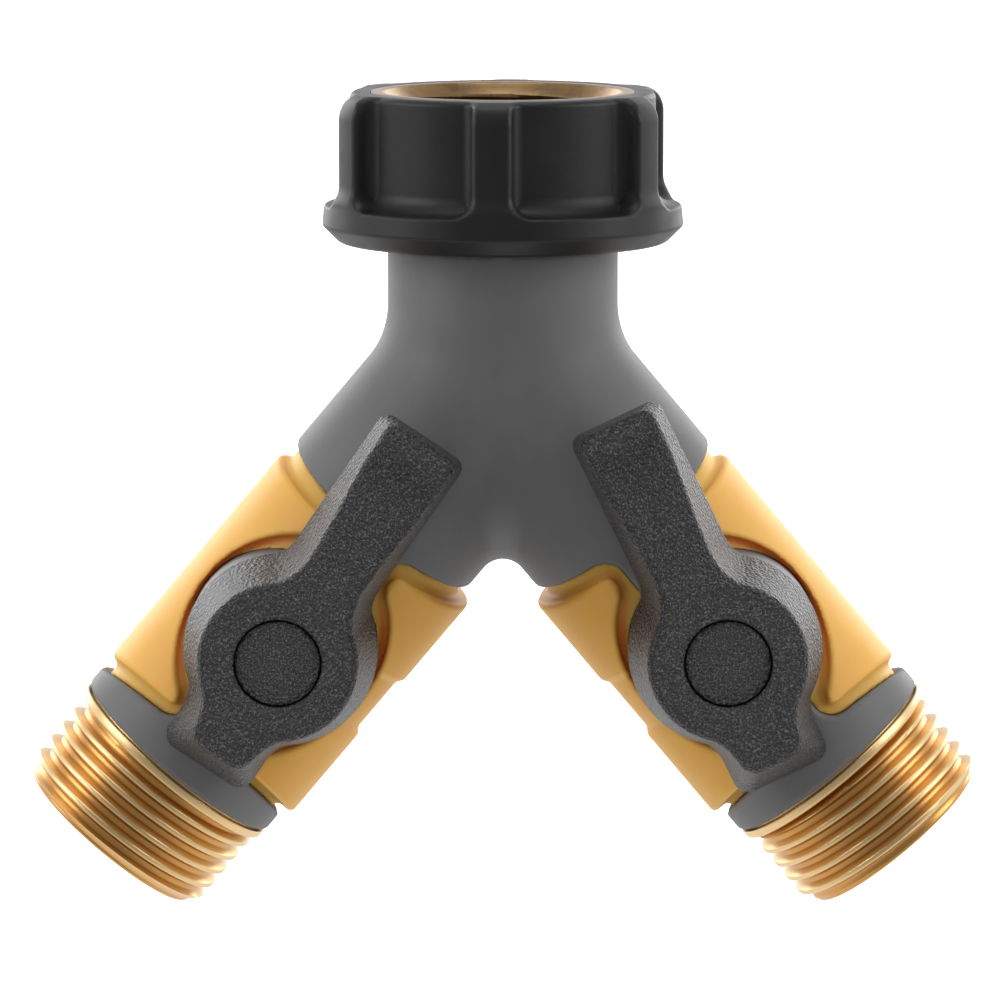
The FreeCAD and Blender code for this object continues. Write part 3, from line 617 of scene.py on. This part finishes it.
def outlet_piece(side, material):
    """Brass nipple: spigot, land, male thread and the bevelled mouth."""
    root = THREAD_CREST - THREAD_DEPTH
    thread_start, thread_end = LAND_END + 0.1, OUTLET_END - 0.5
    before = [
        (WATERWAY, SPIGOT_START),
        (SPIGOT, SPIGOT_START),
        (SPIGOT, GROOVE),
        (SPIGOT - GROOVE_DEPTH, GROOVE),
        (SPIGOT - GROOVE_DEPTH, GROOVE + GROOVE_WIDTH),
        (SPIGOT, GROOVE + GROOVE_WIDTH),
        (SPIGOT, RING_END),
        (LAND - 0.8, RING_END),
        (LAND - 0.8, RING_END + 0.25),
        (LAND - 0.12, RING_END + 0.3),
        (LAND, RING_END + 0.42),
        (LAND, LAND_END - 0.4),
        (LAND - 0.12, LAND_END - 0.2),
        (LAND - 0.5, LAND_END),
    ]
    after = [
        (root, OUTLET_END - 0.45),
        (root - 0.06, OUTLET_END - 0.22),
        (root - 0.22, OUTLET_END - 0.06),
        (root - 0.45, OUTLET_END),
        (OUTLET_BORE + 0.7, OUTLET_END),
        (OUTLET_BORE + 0.35, OUTLET_END - 0.12),
        (OUTLET_BORE, OUTLET_END - 0.6),
        (OUTLET_BORE, RING_END + 0.7),
        (WATERWAY, RING_END - 1.8),
    ]

    def bevelled(radius, height):
        start = root + (height - thread_start) * RUN_IN
        end = root + (thread_end - height) * RUN_OUT
        return max(min(radius, start, end), root)

    thread = (thread_profile(THREAD_CREST, root), thread_start, thread_end, bevelled)
    place = arm_matrix(side) @ Matrix.Rotation(THREAD_TURN[side], 4, "Z")
    placing = (place, "splitter", f"{side}_outlet", "brass", material)
    return turned(f"{side}_outlet_turned", before, after, thread, placing)


def insert_piece(material):
    """Brass insert of the swivel nut, with its female thread."""
    height = NUT_TOP - NUT_BOTTOM
    seat = -NUT_BOTTOM
    root = INLET_CREST + THREAD_DEPTH - 0.05
    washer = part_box("inlet_washer")[1].x / MM + 0.15
    neck, mouth = 10.5, 14.2
    shoulder = seat - 5.2
    thread_start, thread_end = seat + 0.3, height - 1.5
    before = [
        (washer, shoulder),
        (washer, seat - 0.1),
        (root, seat),
    ]
    after = [
        (root + 0.1, height - 1.35),
        (mouth, height - 0.75),
        (mouth + 0.15, height - 0.3),
        (mouth + 0.4, height - 0.08),
        (mouth + 0.65, height - 0.02),
        (INSERT - 0.35, height - 0.02),
        (INSERT - 0.12, height - 0.14),
        (INSERT - 0.1, SKIRT),
        (neck, SKIRT),
        (neck, shoulder),
    ]

    def faded(radius, at):
        start = root - (at - thread_start) * RUN_IN
        end = root - (thread_end - at) * RUN_IN
        return min(max(radius, start, end), root)

    profile = thread_profile(INLET_CREST, root)
    thread = (profile, thread_start, thread_end, faded)
    placing = (nut_matrix(), "swivel_nut", "nut_thread_insert", "brass", material)
    return turned("nut_insert_turned", before, after, thread, placing)


def cap_piece(side, material):
    """Press-in cap of a lever, with a soft edge and a slightly domed face."""
    disc = LEVER_TOP - 1.25
    face = LEVER_TOP - 0.05
    dome = [(CAP * share, face - 0.12 * share**2) for share in (0.0, 0.3, 0.6, 0.85)]
    edge = [(CAP - 0.3, face - 0.14), (CAP - 0.1, face - 0.22), (CAP, face - 0.42)]
    inner, outer = CAP_SKIRT
    foot = disc - CAP_SKIRT_DEPTH
    under = [(CAP, disc), (outer, disc), (outer, foot), (inner, foot), (inner, disc), (0.0, disc)]
    placing = (lever_matrix(side), f"{side}_valve", f"{side}_lever_cap", "grained_nylon", material)
    return turned(f"{side}_cap_turned", dome + edge + under, [], None, placing, CAP_SEGMENTS)


# ---------------------------------------------------------------- frames


def arm_matrix(side):
    """Local x to the arm's outer side, y to the back, z down the arm."""
    sign = SIDES[side]
    columns = ((-ARM_Z * sign, 0, ARM_X), (0, 1, 0), (ARM_X * sign, 0, ARM_Z))
    return frame_matrix(columns, (0, 0, JUNCTION_Z))


def lever_matrix(side):
    """Local x along the lever, z to the front, from where the stem's axis meets the arm's."""
    sign = SIDES[side]
    opened = math.radians(ARM_ANGLE + joints[f"{side}_valve_turn"]["range_deg"][0])
    along = (-sign * math.sin(opened), 0, math.cos(opened))
    across = (-math.cos(opened), 0, -sign * math.sin(opened))
    centre = Vector(joints[f"{side}_valve_turn"]["pos_m"]) / MM
    return frame_matrix((along, across, (0, -1, 0)), centre)


def nut_matrix():
    """Local z up from the nut's lower face."""
    return Matrix.Translation((0, 0, NUT_BOTTOM))


def frame_matrix(columns, origin):
    """A placement from its three axes and its origin."""
    made = Matrix([(*row, place) for row, place in zip(zip(*columns), origin)])
    made.resize_4x4()
    return made


# ---------------------------------------------------------------- materials


class Shader:
    """A material's nodes: each call adds a node, sets its inputs, and gives its first output."""

    def __init__(self, name):
        self.material = bpy.data.materials.new(name)
        self.material.use_nodes = True
        self.tree = self.material.node_tree
        self.surface = self.tree.nodes["Principled BSDF"]

    def put(self, node, inputs):
        """Links each input that is a socket, and sets the others."""
        for key, value in inputs.items():
            socket = node.inputs[key]
            if isinstance(value, bpy.types.NodeSocket):
                self.tree.links.new(value, socket)
            else:
                socket.default_value = value

    def node(self, kind, inputs=None, **settings):
        made = self.tree.nodes.new(f"ShaderNode{kind}")
        for key, value in settings.items():
            setattr(made, key, value)
        self.put(made, inputs or {})
        return made

    def noise(self, place, size, detail=3.0, roughness=0.55):
        """Noise whose features are about size millimetres across."""
        inputs = {"Vector": place, "Scale": 1 / (size * MM), "Detail": detail, "Roughness": roughness}
        return self.node("TexNoise", inputs).outputs["Fac"]

    def cells(self, place, size):
        """Soft round cells about size millimetres across."""
        made = self.node("TexVoronoi", feature="SMOOTH_F1")
        self.put(made, {"Vector": place, "Scale": 1 / (size * MM), "Smoothness": 0.6})
        return made.outputs["Distance"]

    def remap(self, value, low, high, to_low=0.0, to_high=1.0):
        inputs = {"Value": value, "From Min": low, "From Max": high}
        inputs |= {"To Min": to_low, "To Max": to_high}
        return self.node("MapRange", inputs).outputs["Result"]

    def level(self, noise, low=0.0, high=1.0):
        """Noise, which lies mostly between 0.3 and 0.7, spread from low to high."""
        return self.remap(noise, 0.3, 0.7, low, high)

    def sum_of(self, a, b, share):
        """The first and a share of the second."""
        made = self.node("Math", {0: b, 1: share, 2: a}, operation="MULTIPLY_ADD")
        return made.outputs[0]

    def mixed(self, share, first, second):
        """A colour between two others."""
        made = self.node("Mix", data_type="RGBA")
        sockets = {s.identifier: s for s in made.inputs}
        for key, value in (("Factor_Float", share), ("A_Color", first), ("B_Color", second)):
            if isinstance(value, bpy.types.NodeSocket):
                self.tree.links.new(value, sockets[key])
            else:
                sockets[key].default_value = value
        return next(s for s in made.outputs if s.identifier == "Result_Color")

    def relief(self, height, depth, strength=1.0):
        """A surface that height lifts by up to depth millimetres."""
        inputs = {"Height": height, "Distance": depth * MM, "Strength": strength}
        return self.node("Bump", inputs).outputs["Normal"]

    @property
    def place(self):
        return self.node("TexCoord").outputs["Object"]

    def finish(self, **inputs):
        """Sets the surface's own inputs and gives the material."""
        self.put(self.surface, {key.replace("_", " "): value for key, value in inputs.items()})
        return self.material


def tone(red, green, blue):
    """A colour given as a screen shows it, out of 255."""
    parts = [c / 255 for c in (red, green, blue)]
    return tuple(p / 12.92 if p <= 0.04045 else ((p + 0.055) / 1.055) ** 2.4 for p in parts) + (1.0,)


def grained_nylon():
    """Black nylon with the wrinkled grain of a spark-eroded mould, and painted glints: light specks painted into
    its colour.
    """
    s = Shader("grained_nylon")
    place = s.place
    warp = s.noise(place, 0.9, 2.0)
    grain = s.cells(place, 0.4)
    fine = s.noise(place, 0.16, 2.0, 0.6)
    painted_glint = s.noise(place, 0.22, 2.0, 0.7)
    height = s.sum_of(s.sum_of(grain, fine, 0.5), warp, 0.3)
    colour = s.mixed(s.remap(height, 0.5, 1.0), tone(2, 2, 2), tone(12, 11, 13))
    # painted highlight: light specks in the colour stand in for glints on the grain
    colour = s.mixed(s.remap(painted_glint, 0.52, 0.66), colour, tone(106, 103, 108))
    return s.finish(
        Base_Color=colour,
        Roughness=s.level(fine, 0.3, 0.48),
        Specular_IOR_Level=0.55,
        Normal=s.relief(height, 0.5),
    )


def satin_nylon():
    """Black nylon of the nut: a fine even spark texture."""
    s = Shader("satin_nylon")
    place = s.place
    fine = s.noise(place, 0.16, 2.0, 0.5)
    broad = s.noise(place, 5.0, 2.0, 0.5)
    colour = s.mixed(broad, tone(18, 18, 18), tone(26, 26, 26))
    return s.finish(
        Base_Color=colour,
        Roughness=s.level(broad, 0.4, 0.5),
        Specular_IOR_Level=0.35,
        Normal=s.relief(fine, 0.02, 0.7),
    )


def grey_rubber():
    """Matt grey overmould, darker in its creases by painted shade."""
    s = Shader("grey_rubber")
    place = s.place
    fine = s.noise(place, 0.3, 3.0, 0.6)
    broad = s.noise(place, 7.0, 3.0, 0.5)
    crease_shade = s.node("Attribute", attribute_name="crease_shade").outputs["Fac"]
    colour = s.mixed(s.level(broad), tone(102, 102, 103), tone(109, 109, 110))
    # painted shade: the creases are darkened in the colour
    colour = s.mixed(s.remap(crease_shade, 0.25, 0.9, 0.0, 0.5), colour, tone(60, 60, 61))
    return s.finish(
        Base_Color=colour,
        Roughness=s.level(fine, 0.52, 0.64),
        Normal=s.relief(fine, 0.02, 0.5),
    )


def yellow_rubber():
    """Waxy yellow rubber, with painted shade of deep orange in its creases."""
    s = Shader("yellow_rubber")
    place = s.place
    fine = s.noise(place, 0.35, 3.0, 0.6)
    broad = s.noise(place, 9.0, 3.0, 0.5)
    crease_shade = s.node("Attribute", attribute_name="crease_shade").outputs["Fac"]
    colour = s.mixed(s.level(broad), tone(234, 177, 82), tone(239, 184, 93))
    # painted shade: the creases are tinted deep orange in the colour
    colour = s.mixed(s.remap(crease_shade, 0.2, 0.8), colour, tone(255, 126, 32))
    s.surface.subsurface_method = "RANDOM_WALK"
    s.surface.inputs["Subsurface Weight"].default_value = 0.6
    s.surface.inputs["Subsurface Radius"].default_value = (1.0, 0.45, 0.15)
    s.surface.inputs["Subsurface Scale"].default_value = 0.0018
    return s.finish(
        Base_Color=colour,
        Roughness=s.level(fine, 0.46, 0.56),
        Specular_IOR_Level=0.3,
        Normal=s.relief(fine, 0.02, 0.4),
    )


def root_shade(s, axis):
    """How deep a point lies in an outlet's thread: 0 on the crests and 1 in the roots."""
    inputs = {0: s.place, 1: (0.0, 0.0, JUNCTION_Z * MM)}
    offset = s.node("VectorMath", inputs, operation="SUBTRACT").outputs["Vector"]
    across = s.node("VectorMath", {0: offset, 1: axis}, operation="CROSS_PRODUCT").outputs["Vector"]
    radius = s.node("VectorMath", {0: across}, operation="LENGTH").outputs["Value"]
    root, crest = (THREAD_CREST - THREAD_DEPTH) * MM, (THREAD_CREST - 0.15) * MM
    depth = s.remap(radius, root, crest, 1.0, 0.0)
    outside = s.remap(radius, root - 0.3 * MM, root - 0.1 * MM)
    return s.node("Math", {0: depth, 1: outside}, operation="MULTIPLY").outputs[0]


def turned_brass(name, axis, painted_shade=0.0, dark=tone(164, 128, 84), threaded=False):
    """Bright brass with fine marks round the axis that it was turned about. A share of the dark colour given for
    the whole piece darkens it as painted shade, and a thread gets painted highlight on its crests and painted
    shade in its roots.
    """
    s = Shader(name)
    place = s.place
    way = s.node("VectorMath", {0: place, 1: axis}, operation="DOT_PRODUCT").outputs["Value"]
    marks = s.node("CombineXYZ", {"X": way}).outputs["Vector"]
    lines = s.noise(marks, 0.09, 2.0, 0.7)
    bands = s.noise(marks, 0.5, 3.0, 0.6)
    mottle = s.noise(place, 2.5, 3.0, 0.55)
    bright = s.mixed(s.level(bands), tone(202, 162, 102), tone(216, 180, 122))
    # random dark mottle, raised by the given share of painted shade
    colour = s.mixed(s.remap(mottle, 0.45, 0.75, painted_shade, painted_shade + 0.3), bright, dark)
    if threaded:
        # painted highlight on the crests and painted shade in the roots, by how deep a point lies in the thread
        painted_thread_shade = s.mixed(root_shade(s, axis), tone(232, 206, 158), tone(190, 126, 50))
        colour = s.mixed(0.55, colour, painted_thread_shade)
    return s.finish(
        Base_Color=colour,
        Metallic=1.0,
        Roughness=s.level(bands, 0.3, 0.42),
        Normal=s.relief(lines, 0.012, 0.8),
    )


def cast_brass():
    """Brass of the core, as cast."""
    s = Shader("cast_brass")
    place = s.place
    skin = s.noise(place, 0.5, 4.0, 0.65)
    colour = s.mixed(s.level(skin), tone(176, 134, 66), tone(206, 164, 92))
    return s.finish(
        Base_Color=colour,
        Metallic=1.0,
        Roughness=s.level(skin, 0.34, 0.52),
        Normal=s.relief(skin, 0.05, 0.6),
    )


def plated(name, colour, low, high):
    """Plated or bare steel with faint drawing marks."""
    s = Shader(name)
    place = s.place
    fine = s.noise(place, 0.4, 4.0, 0.65)
    return s.finish(
        Base_Color=s.mixed(fine, colour, tone(225, 225, 226)),
        Metallic=1.0,
        Roughness=s.level(fine, low, high),
        Normal=s.relief(fine, 0.01, 0.5),
    )


def soft(name, dark, light, low, high):
    """Seals: rubber or PTFE with a faint mottle."""
    s = Shader(name)
    fine = s.noise(s.place, 0.5, 3.0, 0.6)
    return s.finish(
        Base_Color=s.mixed(s.level(fine), dark, light),
        Roughness=s.level(fine, low, high),
        Normal=s.relief(fine, 0.02, 0.5),
    )


# ---------------------------------------------------------------- assembly


def make_looks():
    """Every material by its record slot."""
    return {
        "black_nylon": satin_nylon(),
        "grained_nylon": grained_nylon(),
        "grey_rubber": grey_rubber(),
        "yellow_rubber": yellow_rubber(),
        "brass": cast_brass(),
        "black_rubber": soft("black_rubber", tone(24, 24, 25), tone(34, 34, 35), 0.5, 0.65),
        "white_ptfe": soft("white_ptfe", tone(226, 225, 220), tone(238, 238, 234), 0.35, 0.5),
        "plated_ball": plated("plated_ball", tone(190, 190, 194), 0.1, 0.18),
        "steel": plated("steel", tone(150, 150, 154), 0.25, 0.38),
    }


def dress_nodes(looks):
    """Gives each CAD node that stays in view its slot's material."""
    for part in frame["record"]["subparts"]:
        node = frame["nodes"].get(part["node"])
        if node is None:
            continue
        node.data.materials.clear()
        node.data.materials.append(looks[part["material_slot"]])


def make_cover(looks):
    low = (-RING_END * ARM_X - RING, -BOSS_TOP, JUNCTION_Z + RING_END * ARM_Z - RING)
    high = (-low[0], RING, NECK_TOP)
    mesh = contour(cover, low, high, "cover")
    placing = (Matrix.Identity(4), "splitter", "y_cover", "grey_rubber", looks["grey_rubber"])
    moulded("y_cover_moulded", cover, mesh, *placing)


def make_grips(looks):
    reach = PAD + PAD_SHIFT + 0.2
    low, high = (-reach, -reach, COLLAR_END[0] - 0.5), (reach, reach, RING_START[0] + 0.5)
    mesh = contour(grip, low, high, "grip")
    for side in SIDES:
        node = f"{side}_grip"
        placing = (arm_matrix(side), "splitter", node, "yellow_rubber", looks["yellow_rubber"])
        moulded(f"{node}_moulded", grip, mesh, *placing)


def make_levers(looks):
    low, high = (-STUB_REACH, -LEVER_HUB, LEVER_BASE), (LEVER_REACH, LEVER_HUB, LEVER_TOP)
    mesh = contour(lever, low, high, "lever")
    for side in SIDES:
        node = f"{side}_lever"
        placing = (lever_matrix(side), f"{side}_valve", node, "grained_nylon", looks["grained_nylon"])
        moulded(f"{node}_moulded", lever, mesh, *placing)
        cap_piece(side, looks["grained_nylon"])


def make_nut(looks):
    low, high = (-NUT_FLANGE, -NUT_FLANGE, NUT_BOTTOM), (NUT_FLANGE, NUT_FLANGE, NUT_TOP)
    mesh = contour(nut, low, high, "nut")
    placing = (Matrix.Identity(4), "swivel_nut", "nut_cover", "black_nylon", looks["black_nylon"])
    moulded("nut_cover_moulded", nut, mesh, *placing)
    # the nut's brass is a darker copy, painted shade for the inside of the nut
    insert_piece(turned_brass("nut_brass", (0, 0, 1), 0.9, tone(122, 98, 70)))


def make_stage():
    """A plain pale floor under the outlets. It takes shadows, but throws no light on the splitter."""
    mesh = bpy.data.meshes.new("floor")
    corners = [(-1, -1), (1, -1), (1, 1), (-1, 1)]
    height = cad_low.z - FLOOR_GAP
    places = [(x * FLOOR_HALF, y * FLOOR_HALF, height) for x, y in corners]
    mesh.from_pydata(places, [], [(0, 1, 2, 3)])
    floor = bpy.data.objects.new("floor", mesh)
    bpy.context.scene.collection.objects.link(floor)
    s = Shader("pale_floor")
    look = s.finish(Base_Color=WHITE, Roughness=0.9, Emission_Color=WHITE, Emission_Strength=0.85)
    mesh.materials.append(look)
    floor.visible_diffuse = False
    floor.visible_glossy = False


def softbox(name, sign, place, size, power):
    """A square light on the side of sign. It faces the splitter's middle, out of any camera's sight."""
    middle = (cad_low + cad_high) / 2
    data = bpy.data.lights.new(name, "AREA")
    data.size = size
    data.energy = power
    lamp = bpy.data.objects.new(name, data)
    lamp.location = middle + Vector((place[0] * sign, *place[1:]))
    lamp.rotation_euler = (middle - lamp.location).to_track_quat("-Z", "Y").to_euler()
    lamp.visible_camera = False
    bpy.context.scene.collection.objects.link(lamp)


def make_light():
    """A white room, brighter behind and below the splitter than in front, and soft boxes round it."""
    world = bpy.data.worlds.new("studio")
    world.use_nodes = True
    tree = world.node_tree
    place = tree.nodes.new("ShaderNodeTexCoord")
    share = tree.nodes.new("ShaderNodeVectorMath")
    share.operation = "DOT_PRODUCT"
    share.inputs[1].default_value = ROOM_AXIS
    level = tree.nodes.new("ShaderNodeMapRange")
    level.interpolation_type = "SMOOTHSTEP"
    for socket, value in zip(level.inputs[1:5], (*ROOM_RANGE, ROOM_FRONT, ROOM_BACK)):
        socket.default_value = value
    tree.links.new(place.outputs["Generated"], share.inputs[0])
    tree.links.new(share.outputs["Value"], level.inputs["Value"])
    tree.links.new(level.outputs["Result"], tree.nodes["Background"].inputs["Strength"])
    tree.nodes["Background"].inputs["Color"].default_value = (1, 1, 1, 1)
    bpy.context.scene.world = world
    for side, sign in SIDES.items():
        softbox(f"{side}_box", sign, *SIDE_BOX)
        softbox(f"{side}_rim", sign, *SIDE_RIM)
    softbox("top_box", 1, *TOP_BOX)


def make_camera():
    """A long lens, level with the ground and looking a little down."""
    back = Vector((0, -math.cos(CAMERA_TILT), math.sin(CAMERA_TILT)))
    data = bpy.data.cameras.new("camera")
    data.lens = LENS
    data.sensor_width = 36.0
    data.clip_start = 0.01
    camera = bpy.data.objects.new("camera", data)
    camera.location = Vector(CAMERA_AIM) * MM + back * CAMERA_DISTANCE
    camera.rotation_euler = (math.pi / 2 - CAMERA_TILT, 0, 0)
    bpy.context.scene.collection.objects.link(camera)
    bpy.context.scene.camera = camera


def main():
    looks = make_looks()
    dress_nodes(looks)
    make_camera()
    make_cover(looks)
    make_grips(looks)
    make_levers(looks)
    make_nut(looks)
    for side, sign in SIDES.items():
        outlet_piece(side, turned_brass(f"{side}_brass", (ARM_X * sign, 0, ARM_Z), threaded=True))
    make_stage()
    make_light()
    bpy.context.scene.view_settings.view_transform = "Standard"


main()
